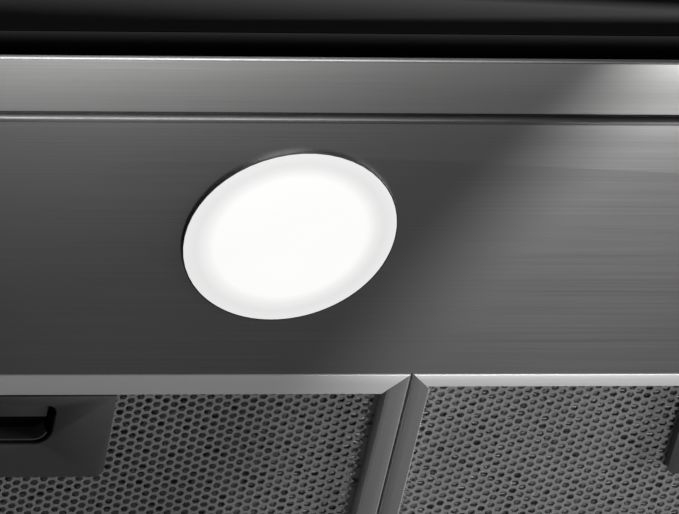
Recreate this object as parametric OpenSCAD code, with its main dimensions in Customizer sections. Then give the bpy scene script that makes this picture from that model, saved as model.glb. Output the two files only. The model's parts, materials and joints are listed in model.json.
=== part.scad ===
// Island range hood hung from the ceiling: a telescopic steel chimney over an angle-iron frame,
// a pyramid canopy with a black glass control strip, a flush light panel with four LED lamps,
// three hinged aluminium grease filters with finger latches, and a centrifugal blower inside.
// Millimetres. +Z up, +X to the right, +Y to the back (the control strip faces -Y).
// The origin is the centre of the ceiling plate's top face.

/* [Overall] */
// Width of the hood, left to right
hood_w = 898; // [894:2:920]
// Depth of the hood, front to back
hood_d = 598; // [590:2:620]
// Drop from the ceiling to the underside
drop = 900; // [880:5:960]
// Thickness of the visible steel sheet
sheet = 1.2; // [1:0.1:1.4]

/* [Canopy] */
// Height of the upright rim
rim_h = 50; // [46:1:56]
// Height of the sloped part above the rim
slope_h = 200; // [200:2:220]
// Width of the flat band around the underside
band_w = 21.7; // [20:0.1:25]
// Width of the shadow gap between band and light panel
groove_w = 2.6; // [2:0.1:3]
// Depth of the shadow gap
groove_h = 12; // [10:1:13]

/* [Chimney] */
// Width of the lower chimney
chimney_w = 300; // [300:2:320]
// Depth of the lower chimney
chimney_d = 280; // [280:2:300]
// Length of the upper chimney
upper_len = 460; // [440:5:480]
// Length of the lower chimney
lower_len = 320; // [300:5:340]
// Thickness of the chimney sheet
wall = 1; // [0.8:0.1:1.2]

/* [Grease filters] */
// Width of one filter
filter_w = 275; // [270:1:278]
// Depth of one filter
filter_d = 333.4; // [320:0.2:340]
// Thickness of the filter frame
filter_t = 10; // [9:0.5:11]
// Width of the front and rear rails
rail_w = 8.7; // [8:0.1:10]
// Width of the side stiles
stile_w = 6.7; // [6:0.1:8]
// Gap between two filters
filter_gap = 0.8; // [0.6:0.1:1.5]
// Gap between the filters and the light panel
filter_play = 0.4; // [0.4:0.1:0.8]

/* [Lamps] */
// Radius of the lamp's visible face
lamp_r = 35.3; // [32:0.1:38]
// Distance of a lamp's centre from the hood's middle, sideways
lamp_x = 190.5; // [170:0.5:220]
// Distance of a lamp's centre from the front or rear edge
lamp_inset = 72.6; // [70:0.1:80]

/* [Controls] */
// Number of push-buttons
button_count = 5; // [5]
// Distance between two buttons
button_pitch = 30; // [24:1:36]
// Radius of a button's cap
button_r = 5.5; // [5:0.1:6]
// Travel of a button
button_travel = 1.5; // [1:0.1:1.5]

/* [Duct] */
// Outer radius of the duct collar
duct_r = 75; // [75]
// Height of the duct collar
collar_h = 60; // [55:1:65]

/* [Hidden] */

$fn = 64;
eps = 0.01;

// Levels
under_z = -drop;                       // the underside
rim_z = under_z + rim_h;               // foot of the slope
top_z = rim_z + slope_h;               // top face of the canopy's top plate
top_t = 2;                             // thickness of that plate
slope_top_z = top_z - top_t;           // top of the sloped sheets

// Ceiling plate and upper frame, fixed to the ceiling
upper_w = chimney_w - 6;
upper_d = chimney_d - 6;
plate_t = 2;
plate_flange = 25;
plate_hole_x = 240;
plate_hole_y = 200;
plate_hole_r = 4;
ceiling_opening_r = 85;
frame_w = 240;                         // outside of the upper posts
frame_d = 220;
post_leg = 30;
post_t = 2.5;
upper_post_len = 393;
post_play = 0.4;                       // gap between the nested posts
inner_leg = 26;
lower_post_top = -200;
brace_h = 20;
brace_t = 3;

// Height adjustment: bolts of the upper posts in long slots of the lower posts
bolt_levels = [-320, -360];
bolt_y = 94;
bolt_r = 3;
slide_down = 100;
slide_up = 120;
slot_half = 3.4;

// Chimney fixing screws
seam_gap = 0.4;
side_screw_y = 60;
side_screw_r = 2;
collar_flange_h = 15;                  // upstand of the top plate inside the chimney
vent_count = 5;
vent_pitch = 12;

// Underside: band, shadow gap and light panel
panel_w = hood_w - 2 * (band_w + groove_w);
panel_d = hood_d - 2 * (band_w + groove_w);
panel_top_z = under_z + sheet;
lip_top_z = under_z + groove_h;        // top of the band's return
return_w = 12;                         // width of the return's top lip
panel_fold_w = 11;                     // width of the panel's fold over that lip
opening_w = 3 * filter_w + 2 * filter_gap + 2 * filter_play;
opening_d = filter_d + 2 * filter_play;
opening_lip_h = 12;
filter_pitch = filter_w + filter_gap;
lamp_y = hood_d / 2 - lamp_inset;
panel_screw_x = [-300, -150, 150, 300];
panel_screw_y = hood_d / 2 - band_w - 6;

// Fascia
glass_t = 4;
glass_front = hood_d / 2 - 0.4;        // distance of the glass's face from the middle
rim_wall_y = glass_front - glass_t - 0.2;
fascia_rail_h = 12.6;
fascia_rail_z = under_z + sheet;
glass_z = fascia_rail_z + fascia_rail_h + 0.2;
glass_top_z = rim_z - sheet - 0.3;
button_z = (glass_z + glass_top_z) / 2;
button_proud = 0.8;
button_flange_r = 7.5;
button_gap = 0.4;
housing_w = 190;
housing_depth = 23;
housing_z0 = under_z + 15;
housing_z1 = rim_z - 3;
board_y = rim_wall_y - sheet - 14;     // front face of the control board
board_t = 1.6;
switch_h = 4;

// Lamps
bezel_proud = 1.2;
lens_proud = 1.4;
lens_seat_t = 0.5;
can_r = 32.7;
can_wall = 1.7;
can_top_z = under_z + 16;
panel_hole_r = 33;

// Blower: the impeller turns about an X axis
fan_y = 42;
fan_z = top_z - 115;
scroll_r = 102;
scroll_wall = 2.5;
scroll_w = 120;
outlet_w = 120;
inlet_r = 62;
impeller_r = 80;
impeller_w = 100;
blade_count = 30;
blade_depth = 14;
motor_r = 38;
motor_x0 = 8;
motor_x1 = 98;
shaft_r = 4;
shaft_play = 0.05;

// Duct collar and back-draught flaps
collar_t = 2;
pin_z = top_z + 22;
pin_r = 1.5;
flap_r = duct_r - collar_t - 2.5;
flap_t = 1.2;
barrel_r = 3;
barrel_len = 18;
barrel_pitch = 20;
flap_edge = 3.5;

// Junction box; its gland stands clear of the frame, so that a lead drops straight into it
box_x0 = -147;
box_w = 50;
box_d = 90;
box_h = 45;
gland_x = -133.5;
gland_bore_r = 5.5;
grommet_y = 30;

// Filter hinge: a short pin in two notches of the rear rail, held in clips on the light panel
hinge_inset = 5;
hinge_y = filter_d / 2 - hinge_inset;
hinge_z = under_z + hinge_inset;
hinge_pin_r = 1.5;
clip_r = 3.6;
clip_w = 9;
notch_w = 14;
notch_depth = 13.4;
notch_x = 90;

// Filter mesh and latch
mesh_z = under_z + 5.5;
mesh_t = 3;
mesh_grip = 2;                         // depth that the mesh sits in the frame
latch_gap = 1.4;                       // groove between the front rail and the latch plate
latch_foot = 2;                        // height of the plate's foot, which bears on the rail
latch_w = 83.3;
latch_taper = 1.1;                     // by which each side runs in towards the front
latch_d = 35;
latch_y = -filter_d / 2 + rail_w + latch_gap;
latch_z = under_z + 1;
latch_t = 4;
latch_corner = 3.5;
recess_w = 43.2;
recess_d = 16.7;
recess_y = latch_y + 4.1;
recess_corners = [3.5, 6];             // front and rear
cup_wall = 1.5;
cup_top_z = under_z + 10.8;
tongue_w = 20;
tongue_t = 1.5;
tongue_z = under_z + 6.9;
tongue_reach = 3.6;                    // beyond the filter's front face
slider_bar_w = 37.6;
slider_bar_d = 5;
slider_bar_y = recess_y + 0.5;
slider_bar_z = under_z + 2;
slider_bar_h = 6.9;
slot_play = 0.4;

STEEL = [0.62, 0.62, 0.61];
DARK_STEEL = [0.36, 0.36, 0.36];
ZINC = [0.74, 0.75, 0.76];
ALUMINIUM = [0.80, 0.80, 0.80];
BLACK = [0.05, 0.05, 0.05];
GREY_PLASTIC = [0.27, 0.27, 0.28];
LENS_WHITE = [0.97, 0.97, 0.94];
COPPER_GREEN = [0.10, 0.38, 0.22];

// ---------------------------------------------------------------- shared shapes

// A box given by its lowest and highest corners
module span(low, high) translate(low) cube(high - low);

// An upright rectangular tube, centred on the Z axis
module tube_ring(outer, inner, z0, z1) {
    translate([0, 0, z0]) linear_extrude(z1 - z0) difference() {
        square(outer, center = true);
        square(inner, center = true);
    }
}

// An L-shaped angle profile whose outer corner is at the origin, legs along +X and +Y
module angle_profile(leg, t, h) {
    linear_extrude(h) polygon([[0, 0], [leg, 0], [leg, t], [t, t], [t, leg], [0, leg]]);
}

// Draws its child in all four quadrants
module four_corners() {
    for (sx = [0, 1], sy = [0, 1]) mirror([sx, 0, 0]) mirror([0, sy, 0]) children();
}

// Draws its child on the right side and mirrored on the left side
module both_sides() {
    children();
    mirror([1, 0, 0]) children();
}

// A cylinder along X from x0 to x1
module rod_x(r, x0, x1) translate([x0, 0, 0]) rotate([0, 90, 0]) cylinder(h = x1 - x0, r = r);

// A cylinder along Y from y0 to y1
module rod_y(r, y0, y1) translate([0, y0, 0]) rotate([-90, 0, 0]) cylinder(h = y1 - y0, r = r);

// A pan-head screw: its head lies on z = 0, its shank runs down
module pan_screw(shank_r, shank_len, head_r, head_h) {
    translate([0, 0, -shank_len]) cylinder(h = shank_len + eps, r = shank_r);
    difference() {
        cylinder(h = head_h, r = head_r);
        for (a = [0, 90]) rotate([0, 0, a])
            translate([-head_r * 0.6, -0.4, head_h * 0.5]) cube([head_r * 1.2, 0.8, head_h]);
    }
}

// One half of a chimney section, on the +Y side: two side walls and the rear wall
module chimney_half(w, d, z0, z1) {
    difference() {
        span([-w / 2, seam_gap / 2, z0], [w / 2, d / 2, z1]);
        span([-w / 2 + wall, 0, z0 - 1], [w / 2 - wall, d / 2 - wall, z1 + 1]);
    }
}

// ---------------------------------------------------------------- ceiling and upper frame

module ceiling_plate() color(ZINC) difference() {
    inner = [upper_w - 2 * wall, upper_d - 2 * wall];
    union() {
        span([-inner[0] / 2, -inner[1] / 2, -plate_t], [inner[0] / 2, inner[1] / 2, 0]);
        tube_ring(inner, inner - [4, 4], -plate_flange, -plate_t);
    }
    translate([0, 0, -plate_t - 1]) cylinder(h = plate_t + 2, r = ceiling_opening_r);
    four_corners() translate([plate_hole_x / 2, plate_hole_y / 2, -plate_t - 1])
        cylinder(h = plate_t + 2, r = plate_hole_r);
    for (s = [-1, 1]) translate([0, s * side_screw_y, -plate_flange / 2])
        rod_x(side_screw_r + 0.1, -upper_w, upper_w);
}

module upper_posts() color(ZINC) difference() {
    four_corners() translate([frame_w / 2, frame_d / 2, -plate_t - upper_post_len])
        rotate([0, 0, 180]) angle_profile(post_leg, post_t, upper_post_len);
    for (z = bolt_levels, s = [-1, 1]) translate([0, s * bolt_y, z])
        rod_x(bolt_r + 0.2, -frame_w, frame_w);
}

module upper_frame_brace() color(ZINC) {
    z0 = -plate_t - upper_post_len;
    tube_ring([frame_w + 2 * brace_t, frame_d + 2 * brace_t], [frame_w, frame_d], z0, z0 + brace_h);
}

module upper_chimney_half() difference() {
    chimney_half(upper_w, upper_d, -upper_len, 0);
    for (i = [0 : vent_count - 1]) translate([0, 70, -60 - i * vent_pitch])
        cube([upper_w + 2, 60, 5], center = true);
    translate([0, side_screw_y, -plate_flange / 2]) rod_x(side_screw_r + 0.1, -upper_w, upper_w);
}

module upper_chimney_rear() color(STEEL) upper_chimney_half();
module upper_chimney_front() color(STEEL) mirror([0, 1, 0]) upper_chimney_half();

// Four screws through the side walls of a chimney section
module chimney_screws(half_width, z) {
    both_sides() for (s = [-1, 1]) translate([half_width, s * side_screw_y, z])
        rotate([0, 90, 0]) pan_screw(side_screw_r, 8, 3.6, 2);
}

module upper_chimney_screws() color(ZINC) chimney_screws(upper_w / 2, -plate_flange / 2);

module frame_bolts() color(ZINC) both_sides() for (z = bolt_levels, s = [-1, 1])
    translate([frame_w / 2, s * bolt_y, z]) {
        rod_x(bolt_r, -18, 0);
        rotate([0, 90, 0]) cylinder(h = 4, r = 5.77, $fn = 6);
    }

module frame_nuts() color(ZINC) both_sides() for (z = bolt_levels, s = [-1, 1])
    translate([frame_w / 2 - post_t - post_play - post_t - 1, s * bolt_y, z]) difference() {
        rotate([0, -90, 0]) cylinder(h = 5, r = 5.77, $fn = 6);
        rod_x(bolt_r + 0.02, -6, 1);
    }

// ---------------------------------------------------------------- lower frame and chimney

lower_corner = [frame_w / 2 - post_t - post_play, frame_d / 2 - post_t - post_play];

module lower_posts() color(ZINC) difference() {
    four_corners() translate([lower_corner[0], lower_corner[1], top_z])
        rotate([0, 0, 180]) angle_profile(inner_leg, post_t, lower_post_top - top_z);
    slot_top = bolt_levels[0] + slide_down + slot_half;
    slot_foot = bolt_levels[1] - slide_up - slot_half;
    for (s = [-1, 1])
        span([-frame_w, s * bolt_y - slot_half, slot_foot], [frame_w, s * bolt_y + slot_half, slot_top]);
}

module lower_frame_brace() color(ZINC) {
    outer = 2 * lower_corner + [2 * brace_t, 2 * brace_t];
    tube_ring(outer, 2 * lower_corner, top_z + 90, top_z + 90 + brace_h);
}

module lower_chimney_half() difference() {
    chimney_half(chimney_w, chimney_d, top_z, top_z + lower_len);
    translate([0, side_screw_y, top_z + collar_flange_h / 2])
        rod_x(side_screw_r + 0.1, -chimney_w, chimney_w);
}

module lower_chimney_rear() color(STEEL) lower_chimney_half();
module lower_chimney_front() color(STEEL) mirror([0, 1, 0]) lower_chimney_half();
module lower_chimney_screws() color(ZINC) chimney_screws(chimney_w / 2, top_z + collar_flange_h / 2);

// ---------------------------------------------------------------- canopy

// Half sizes of the sloped canopy's outline, outside and inside, at its foot and its top
slope_foot = [hood_w / 2, hood_d / 2];
slope_top = [chimney_w / 2, chimney_d / 2];
slope_rise = slope_top_z - rim_z;
slope_run = slope_foot - slope_top;
slope_thick = [for (run = slope_run) sheet * sqrt(run * run + slope_rise * slope_rise) / slope_rise];
slope_foot_in = slope_foot - slope_thick;
slope_top_in = slope_top - slope_thick;

// A sloped trapezoid sheet with mitred ends; each argument is [half width, distance, height]
module sloped_sheet(foot, foot_in, head, head_in) {
    rows = [foot, foot_in, head_in, head];
    points = [for (p = rows) each [[-p[0], -p[1], p[2]], [p[0], -p[1], p[2]]]];
    polyhedron(points, [[0, 1, 3, 2], [2, 3, 5, 4], [4, 5, 7, 6], [6, 7, 1, 0],
        [0, 2, 4, 6], [1, 7, 5, 3]]);
}

// The sheet on the side at distance a, spanning the half width b
module canopy_side(a, b) {
    sloped_sheet([slope_foot[b], slope_foot[a], rim_z], [slope_foot_in[b], slope_foot_in[a], rim_z],
        [slope_top[b], slope_top[a], slope_top_z], [slope_top_in[b], slope_top_in[a], slope_top_z]);
}

module canopy_front() color(STEEL) canopy_side(1, 0);
module canopy_rear() color(STEEL) rotate([0, 0, 180]) canopy_side(1, 0);
module canopy_right() color(STEEL) rotate([0, 0, 90]) canopy_side(0, 1);
module canopy_left() color(STEEL) rotate([0, 0, -90]) canopy_side(0, 1);

module canopy_rim() color(STEEL) difference() {
    outer = [hood_w, hood_d];
    band_in = outer - 2 * [band_w, band_w];
    band_z = under_z + sheet;
    union() {
        tube_ring(outer, band_in, under_z, band_z);
        tube_ring(band_in + 2 * [sheet, sheet], band_in, under_z, lip_top_z);
        tube_ring(band_in + 2 * [return_w, return_w], band_in, lip_top_z - sheet, lip_top_z);
        difference() {
            tube_ring(outer, outer - 2 * [sheet, sheet], band_z - eps, rim_z);
            span([-hood_w, -hood_d, band_z], [hood_w, -hood_d / 2 + sheet + eps, rim_z + 1]);
        }
        // the front wall stands back behind the glass
        span([-hood_w / 2, -rim_wall_y, band_z - eps], [hood_w / 2, -rim_wall_y + sheet, rim_z]);
        span([-hood_w / 2, -hood_d / 2, rim_z - sheet], [hood_w / 2, -rim_wall_y + eps, rim_z]);
        both_sides() span([hood_w / 2 - sheet, -hood_d / 2, band_z - eps],
            [hood_w / 2, -rim_wall_y + sheet, rim_z]);
    }
    for (i = [0 : button_count - 1]) translate([button_x(i), 0, button_z])
        rod_y(button_r + 0.4, -hood_d / 2 - 1, -rim_wall_y + sheet + 1);
    for (x = panel_screw_x, s = [-1, 1]) translate([x, s * panel_screw_y, lip_top_z - sheet - 1])
        cylinder(h = sheet + 2, r = side_screw_r + 0.1);
}

module canopy_top_plate() color(STEEL) difference() {
    union() {
        span([-chimney_w / 2, -chimney_d / 2, slope_top_z], [chimney_w / 2, chimney_d / 2, top_z]);
        tray = [chimney_w - 2 * wall, chimney_d - 2 * wall];
        tube_ring(tray, tray - [3, 3], top_z - eps, top_z + collar_flange_h);
    }
    translate([0, 0, slope_top_z - 1]) cylinder(h = top_t + 2, r = duct_r - 5);
    translate([box_x0 + box_w / 2, grommet_y, slope_top_z - 1]) cylinder(h = top_t + 2, r = 6);
    for (s = [-1, 1]) translate([0, s * side_screw_y, top_z + collar_flange_h / 2])
        rod_x(side_screw_r + 0.1, -chimney_w, chimney_w);
}

// ---------------------------------------------------------------- light panel

module light_panel() color(DARK_STEEL) {
    outer = [panel_w, panel_d];
    opening = [opening_w, opening_d];
    fold_z = lip_top_z;
    difference() {
        union() {
            tube_ring(outer, opening, under_z, panel_top_z);
            tube_ring(outer, outer - 2 * [sheet, sheet], under_z, fold_z + sheet);
            tube_ring(outer + 2 * [panel_fold_w, panel_fold_w], outer - 2 * [sheet, sheet],
                fold_z, fold_z + sheet);
            tube_ring(opening + 2 * [sheet, sheet], opening, under_z, under_z + opening_lip_h);
        }
        four_corners() translate([lamp_x, lamp_y, under_z - 1])
            cylinder(h = sheet + 2, r = panel_hole_r);
        for (i = [-1 : 1])
            span([i * filter_pitch - tongue_w / 2 - slot_play, -opening_d / 2 - sheet - 1, tongue_z - slot_play],
                [i * filter_pitch + tongue_w / 2 + slot_play, -opening_d / 2 + 1,
                    tongue_z + tongue_t + slot_play]);
        for (x = panel_screw_x, s = [-1, 1]) translate([x, s * panel_screw_y, fold_z - 1])
            cylinder(h = sheet + 2, r = side_screw_r + 0.1);
    }
}

module panel_screws() color(ZINC) for (x = panel_screw_x, s = [-1, 1])
    translate([x, s * panel_screw_y, lip_top_z + sheet]) pan_screw(side_screw_r, 7, 3.6, 2);

// Clips on the panel's rear lip that hold the filters' hinge pins and open downwards
module filter_clips() color(ZINC) for (i = [-1 : 1], s = [-1, 1])
    translate([i * filter_pitch + s * notch_x, hinge_y, hinge_z]) difference() {
        union() {
            rod_x(clip_r, -clip_w / 2, clip_w / 2);
            span([-clip_w / 2, 0, 1.8], [clip_w / 2, opening_d / 2 - hinge_y, clip_r]);
        }
        rod_x(hinge_pin_r + 0.05, -clip_w, clip_w);
        span([-clip_w, -1.2, -clip_r - 1], [clip_w, 1.2, 0]);
    }

// ---------------------------------------------------------------- control strip

function button_x(i) = (i - (button_count - 1) / 2) * button_pitch;

module fascia_rail() color(BLACK)
    span([-hood_w / 2 + sheet, -glass_front, fascia_rail_z],
        [hood_w / 2 - sheet, -rim_wall_y, fascia_rail_z + fascia_rail_h]);

module fascia_glass() color(BLACK) difference() {
    span([-hood_w / 2 + sheet, -glass_front, glass_z],
        [hood_w / 2 - sheet, -glass_front + glass_t, glass_top_z]);
    for (i = [0 : button_count - 1]) translate([button_x(i), 0, button_z])
        rod_y(button_r + 0.4, -hood_d / 2 - 1, -glass_front + glass_t + 1);
}

module control_housing() color(GREY_PLASTIC) {
    front = -rim_wall_y + sheet;
    t = 2;
    difference() {
        span([-housing_w / 2, front, housing_z0], [housing_w / 2, front + housing_depth, housing_z1]);
        span([-housing_w / 2 + t, front - 1, housing_z0 + t],
            [housing_w / 2 - t, front + housing_depth - t, housing_z1 - t]);
    }
    // bosses that carry the board
    for (sx = [-1, 1], sz = [-1, 1])
        translate([sx * (housing_w / 2 - 10), 0, button_z + sz * 9])
            rod_y(3, -board_y + board_t, front + housing_depth - t + eps);
}

module control_board() color(COPPER_GREEN) {
    span([-housing_w / 2 + 3, -board_y, housing_z0 + 3], [housing_w / 2 - 3, -board_y + board_t, housing_z1 - 3]);
    for (i = [0 : button_count - 1])
        span([button_x(i) - 3, -board_y - switch_h, button_z - 3], [button_x(i) + 3, -board_y, button_z + 3]);
}

// A push-button: cap through the glass, flange behind the rim wall, stem towards its switch
module push_button(i) color(ZINC) translate([button_x(i), 0, button_z]) {
    flange_y = -rim_wall_y + sheet + button_gap;
    rod_y(button_r, -glass_front - button_proud, flange_y + eps);
    rod_y(button_flange_r, flange_y, flange_y + 1.5);
    rod_y(2, flange_y + 1.4, -board_y - switch_h - button_travel - button_gap);
}

module power_button() push_button(0);
module low_speed_button() push_button(1);
module medium_speed_button() push_button(2);
module high_speed_button() push_button(3);
module light_button() push_button(4);

// ---------------------------------------------------------------- lamps

// Draws its child at each of the four lamps, with the underside at z = 0
module at_lamps() for (sx = [-1, 1], sy = [-1, 1])
    translate([sx * lamp_x, sy * lamp_y, under_z]) children();

module lamp_bezels() color(DARK_STEEL) at_lamps() difference() {
    union() {
        translate([0, 0, -bezel_proud]) cylinder(h = bezel_proud, r = lamp_r);
        translate([0, 0, -eps]) cylinder(h = can_top_z - under_z, r = can_r);
    }
    translate([0, 0, -bezel_proud - 1]) cylinder(h = can_top_z - under_z + 3, r = can_r - can_wall);
    translate([0, 0, -bezel_proud - 1]) cylinder(h = 1 + bezel_proud - lens_seat_t, r = lamp_r - 0.4);
}

module lamp_lenses() color(LENS_WHITE) at_lamps()
    translate([0, 0, -lens_proud]) cylinder(h = lens_proud - lens_seat_t, r = lamp_r - 0.4);

module lamp_heatsinks() color(ALUMINIUM) at_lamps() translate([0, 0, can_top_z - under_z - eps]) difference() {
    cylinder(h = 16, r = can_r + 1);
    for (i = [-3 : 3]) translate([i * 8.5 - 2, -can_r - 2, 4]) cube([4, 2 * can_r + 4, 20]);
}

// ---------------------------------------------------------------- electrics

module led_driver() color(GREY_PLASTIC) difference() {
    union() {
        span([-60, -250, panel_top_z], [60, -215, panel_top_z + 24]);
        span([-72, -242, panel_top_z], [72, -223, panel_top_z + 2.5]);
    }
    both_sides() translate([66, -232.5, panel_top_z - 1]) cylinder(h = 5, r = 2.2);
}

module junction_box() color(GREY_PLASTIC) {
    middle = [box_x0 + box_w / 2, 0, top_z];
    difference() {
        translate(middle + [-box_w / 2, -box_d / 2, 0]) cube([box_w, box_d, box_h]);
        translate(middle + [-box_w / 2 + 2.5, -box_d / 2 + 2.5, 2.5])
            cube([box_w - 5, box_d - 5, box_h - 5]);
        translate([gland_x, 0, top_z + box_h - 5]) cylinder(h = 10, r = gland_bore_r + 3);
        translate(middle + [0, grommet_y, -1]) cylinder(h = 5, r = 6);
    }
}

// Cable gland on the junction box; its bore takes the mains lead
module cable_gland() color(BLACK) translate([gland_x, 0, top_z + box_h]) difference() {
    union() {
        translate([0, 0, -6]) cylinder(h = 8, r = gland_bore_r + 3);
        cylinder(h = 6, r = 12, $fn = 6);
        translate([0, 0, 6 - eps]) cylinder(h = 12, r = 9.5);
    }
    translate([0, 0, -7]) cylinder(h = 30, r = gland_bore_r);
}

// A round cable swept along a chain of points, with eased corners
function unit(v) = v / norm(v);

function eased(points, ease) = [points[0],
    for (i = [1 : 1 : len(points) - 2])
        let (p = points[i], a = p - ease * unit(p - points[i - 1]), b = p + ease * unit(points[i + 1] - p))
            each [a, p / 2 + (a + b) / 4, b],
    points[len(points) - 1]];

function heading(p, i) = unit((i > 0 ? unit(p[i] - p[i - 1]) : [0, 0, 0])
    + (i < len(p) - 1 ? unit(p[i + 1] - p[i]) : [0, 0, 0]));

function ring_points(p, i, r, sides) =
    let (t = heading(p, i), u = unit(cross(t, [0.31, 0.52, 0.79])), v = cross(t, u))
        [for (k = [0 : sides - 1]) p[i] + r * (cos(k * 360 / sides) * u + sin(k * 360 / sides) * v)];

module cable_run(points, r) {
    sides = 8;
    path = eased(points, 12);
    last = len(path) - 1;
    polyhedron([for (i = [0 : last]) each ring_points(path, i, r, sides)],
        [[for (k = [0 : sides - 1]) k],
            for (i = [0 : last - 1], k = [0 : sides - 1])
                let (next = (k + 1) % sides)
                    [i * sides + next, i * sides + k, (i + 1) * sides + k, (i + 1) * sides + next],
            [for (k = [sides - 1 : -1 : 0]) last * sides + k]]);
}

module wiring_harness() color(BLACK) {
    drop_x = box_x0 + box_w / 2;
    low_z = under_z + 26;
    corner = [drop_x, grommet_y + 40, low_z];
    motor_x = motor_x1 - 7;
    // mains lead to the motor, lead to the LED driver, lead to the controls
    cable_run([[drop_x, grommet_y, top_z - 4], [drop_x, grommet_y, top_z - 40], corner,
        [motor_x, grommet_y + 40, low_z], [motor_x, fan_y, low_z], [motor_x, fan_y, fan_z - motor_r]], 3);
    cable_run([corner + [0, 0, 20], [drop_x, grommet_y, low_z], [drop_x, -232, low_z],
        [-60, -232, panel_top_z + 12]], 3);
    cable_run([[drop_x, -180, low_z], [drop_x, -250, low_z + 4], [-80, -250, low_z + 4],
        [-80, -rim_wall_y + sheet + housing_depth, low_z + 4]], 2.5);
}

// ---------------------------------------------------------------- blower

// The scroll's outline in the YZ plane, with an outlet that rises to the top plate
module scroll_outline(inset) {
    translate([fan_y, fan_z]) circle(scroll_r - inset, $fn = 96);
    translate([-outlet_w / 2 + inset, fan_z]) square([outlet_w - 2 * inset, slope_top_z - fan_z]);
}

// Extrudes its 2D child, drawn in Y and Z, from x0 to x1
module extrude_x(x0, x1) translate([x0, 0, 0]) rotate([90, 0, 90]) linear_extrude(x1 - x0) children();

module scroll_housing() color(GREY_PLASTIC) {
    extrude_x(-scroll_w / 2, scroll_w / 2) difference() {
        scroll_outline(0);
        scroll_outline(scroll_wall);
        translate([-outlet_w / 2 + scroll_wall, slope_top_z - 1]) square([outlet_w - 2 * scroll_wall, 2]);
    }
    tube_ring([150, 150], [scroll_w, outlet_w], slope_top_z - 3, slope_top_z);
}

module scroll_side_plates() color(GREY_PLASTIC) both_sides() difference() {
    union() {
        extrude_x(scroll_w / 2, scroll_w / 2 + scroll_wall) intersection() {
            scroll_outline(0);
            translate([-scroll_r, fan_z - 2 * scroll_r]) square([4 * scroll_r, 2 * scroll_r + slope_top_z - 3 - fan_z]);
        }
        translate([0, fan_y, fan_z]) rod_x(inlet_r + 4, scroll_w / 2, scroll_w / 2 + 6);
    }
    translate([0, fan_y, fan_z]) rod_x(inlet_r, 0, scroll_w);
}

module motor() color(ZINC) translate([0, fan_y, fan_z]) difference() {
    union() {
        rod_x(motor_r, motor_x0 + 4, motor_x1 - 4);
        rod_x(motor_r - 6, motor_x0, motor_x1);
    }
    rod_x(shaft_r + shaft_play, 0, motor_x1 + 1);
}

module motor_bracket() color(ZINC) translate([0, fan_y, fan_z]) {
    arm_x = scroll_w / 2 + 6;
    difference() {
        rod_x(motor_r + 3, arm_x, arm_x + 22);
        rod_x(motor_r, 0, scroll_w);
    }
    for (a = [90, 210, 330]) rotate([a, 0, 0])
        span([arm_x, motor_r + 1.5, -8], [arm_x + 3.5, inlet_r + 4, 8]);
}

module impeller() color(GREY_PLASTIC) translate([0, fan_y, fan_z]) difference() {
    union() {
        rod_x(impeller_r, -1, 1);
        rod_x(12, -8, 6);
        for (s = [-1, 1]) difference() {
            rod_x(impeller_r, s * (impeller_w / 2 - 1) - 1, s * (impeller_w / 2 - 1) + 1);
            rod_x(impeller_r - blade_depth, -impeller_w, impeller_w);
        }
        for (i = [0 : blade_count - 1]) rotate([i * 360 / blade_count, 0, 0])
            span([-impeller_w / 2 + 1, impeller_r - blade_depth + 0.5, -0.6],
                [impeller_w / 2 - 1, impeller_r - 0.5, 0.6]);
    }
    rod_x(shaft_r, -10, 10);
}

module motor_shaft() color(ZINC) translate([0, fan_y, fan_z]) rod_x(shaft_r, -12, motor_x1 - 4);

// ---------------------------------------------------------------- duct collar and flaps

module damper_collar() color(GREY_PLASTIC) difference() {
    union() {
        translate([0, 0, top_z]) cylinder(h = collar_h, r = duct_r);
        translate([0, 0, top_z]) cylinder(h = 2, r = duct_r + 15);
    }
    difference() {
        translate([0, 0, top_z - 1]) cylinder(h = collar_h + 2, r = duct_r - collar_t);
        // the ledge that the closed flaps lie on
        translate([0, 0, pin_z - 4]) difference() {
            cylinder(h = 2.5, r = duct_r - collar_t);
            translate([0, 0, -1]) cylinder(h = 5, r = duct_r - collar_t - 4.5);
        }
    }
    translate([0, 0, pin_z]) rod_x(pin_r, -duct_r - 1, duct_r + 1);
}

module damper_pin() color(ZINC) translate([0, 0, pin_z]) rod_x(pin_r, 0.5 - duct_r, duct_r - 0.5);

// The rear flap; its barrels stand between those of the front flap, which start at 'first'
module flap(first) translate([0, 0, pin_z]) difference() {
    union() {
        intersection() {
            translate([0, 0, -flap_t / 2]) cylinder(h = flap_t, r = flap_r);
            span([-flap_r, flap_edge, -1], [flap_r, flap_r + 1, 1]);
        }
        for (i = [0 : 2]) translate([first + i * 2 * barrel_pitch, 0, 0]) {
            rod_x(barrel_r, 0, barrel_len);
            span([0, 0, -flap_t / 2], [barrel_len, flap_edge + 1, flap_t / 2]);
        }
    }
    rod_x(pin_r + 0.05, -duct_r, duct_r);
}

module damper_flap_rear() color(DARK_STEEL) flap(-3 * barrel_pitch + 1);
module damper_flap_front() color(DARK_STEEL) mirror([0, 1, 0]) flap(-2 * barrel_pitch + 1);

// ---------------------------------------------------------------- grease filters

// Draws its child at filter i: -1 left, 0 middle, 1 right
module at_filter(i) translate([i * filter_pitch, 0, 0]) children();

// The two notches of the rear rail, around the hinge pin
module hinge_notches() for (s = [-1, 1])
    span([s * notch_x - notch_w / 2, filter_d / 2 - notch_depth, under_z - 1],
        [s * notch_x + notch_w / 2, filter_d / 2 + 1, under_z + filter_t + 1]);

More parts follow.
